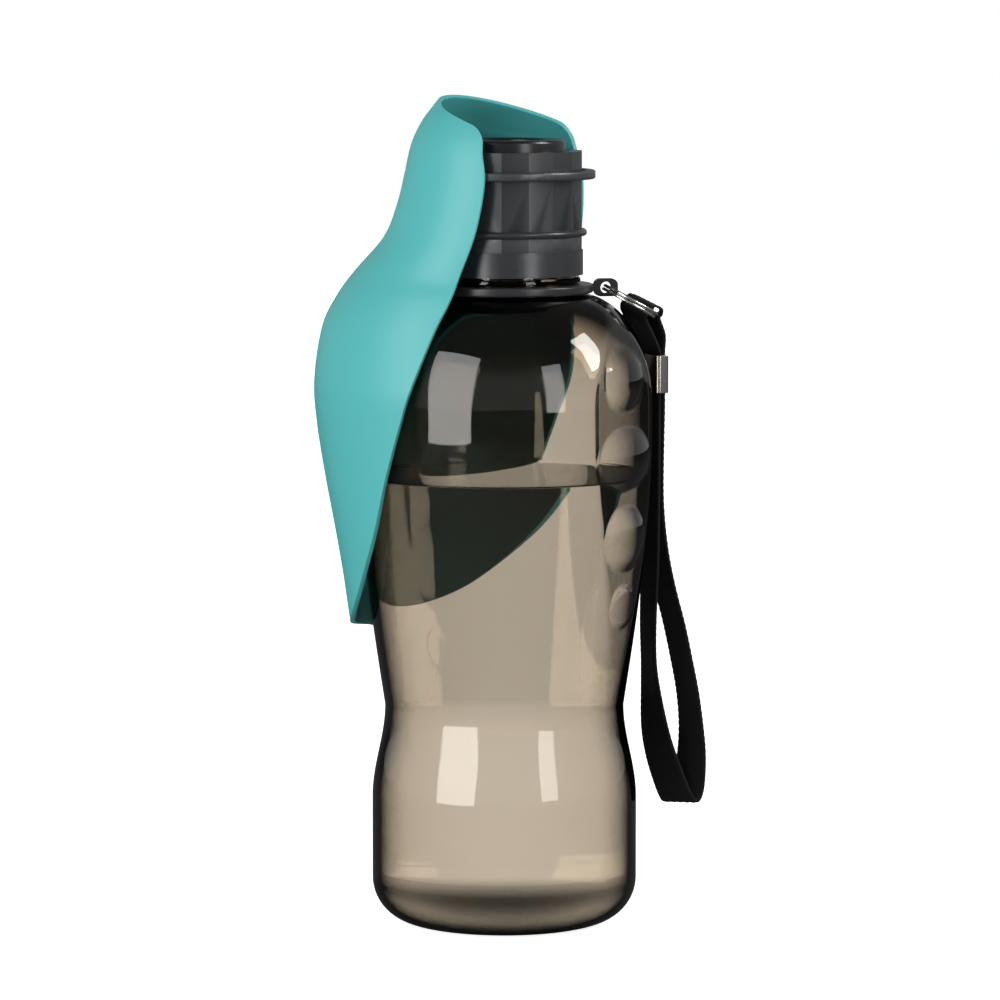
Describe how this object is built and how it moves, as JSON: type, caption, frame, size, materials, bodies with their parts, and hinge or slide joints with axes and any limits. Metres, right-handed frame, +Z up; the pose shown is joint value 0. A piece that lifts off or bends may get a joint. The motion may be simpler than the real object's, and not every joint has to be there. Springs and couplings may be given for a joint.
{
  "type": "dog travel water bottle",
  "caption": "Squeezable travel water bottle with a finger-grip panel, a screw cap with a slit valve, a leaf-shaped drinking trough hinged on the cap, and a wrist strap on a neck collar.",
  "frame": {"origin": "centre of the base, on the surface that the bottle stands on", "axes": "+Z up along the bottle's axis; -X through the hanging leaf; +X through the grip panel; +Y completes the right-handed frame"},
  "size_m": [0.0924, 0.0894, 0.2247],
  "materials": {
    "bottle": "smoked translucent",
    "gasket": "soft white silicone",
    "cap": "fine matte",
    "valve": "translucent silicone",
    "retainer": "satin",
    "band": "satin",
    "hinge": "matte",
    "leaf": "fine matte",
    "collar": "satin",
    "steel": "bright nickel",
    "webbing": "woven"
  },
  "bodies": {
    "bottle": {"bottle_body": "bottle"},
    "cap_seal": {"cap_gasket": "gasket"},
    "cap": {"screw_cap": "cap", "valve_retainer": "retainer", "slit_valve": "valve", "stop_band": "band"},
    "hinge_ring": {"hinge_ring": "hinge"},
    "leaf": {"drinking_leaf": "leaf"},
    "lanyard_collar": {"lanyard_collar": "collar"},
    "strap": {"split_ring": "steel", "strap_top_loop": "webbing", "strap_crimp": "steel", "wrist_strap": "webbing"}
  },
  "joints": [
    {"name": "cap_lift", "type": "slide", "parent": "bottle", "child": "cap_seal", "axis": [0, 0, 1], "range_m": [0, 0.06]},
    {"name": "cap_turn", "type": "hinge", "parent": "cap_seal", "child": "cap", "pos_m": [0, 0, 0.19], "axis": [0, 0, 1], "range_deg": [0, 540]},
    {"name": "leaf_swivel", "type": "hinge", "parent": "cap_seal", "child": "hinge_ring", "pos_m": [0, 0, 0.2036], "axis": [0, 0, 1], "continuous": true},
    {"name": "leaf_flip", "type": "hinge", "parent": "hinge_ring", "child": "leaf", "pos_m": [0, 0, 0.2036], "axis": [0, 1, 0], "range_deg": [0, 120]},
    {"name": "lanyard_swivel", "type": "hinge", "parent": "bottle", "child": "lanyard_collar", "pos_m": [0, 0, 0.1729], "axis": [0, 0, 1], "continuous": true},
    {"name": "strap_swing", "type": "hinge", "parent": "lanyard_collar", "child": "strap", "pos_m": [0.02122, 0.01781, 0.1728], "axis": [0.6428, -0.766, 0], "range_deg": [0, 90]}
  ],
  "couplings": [
    {"joint": "lanyard_swivel", "follows": "leaf_swivel", "ratio": 1}
  ]
}
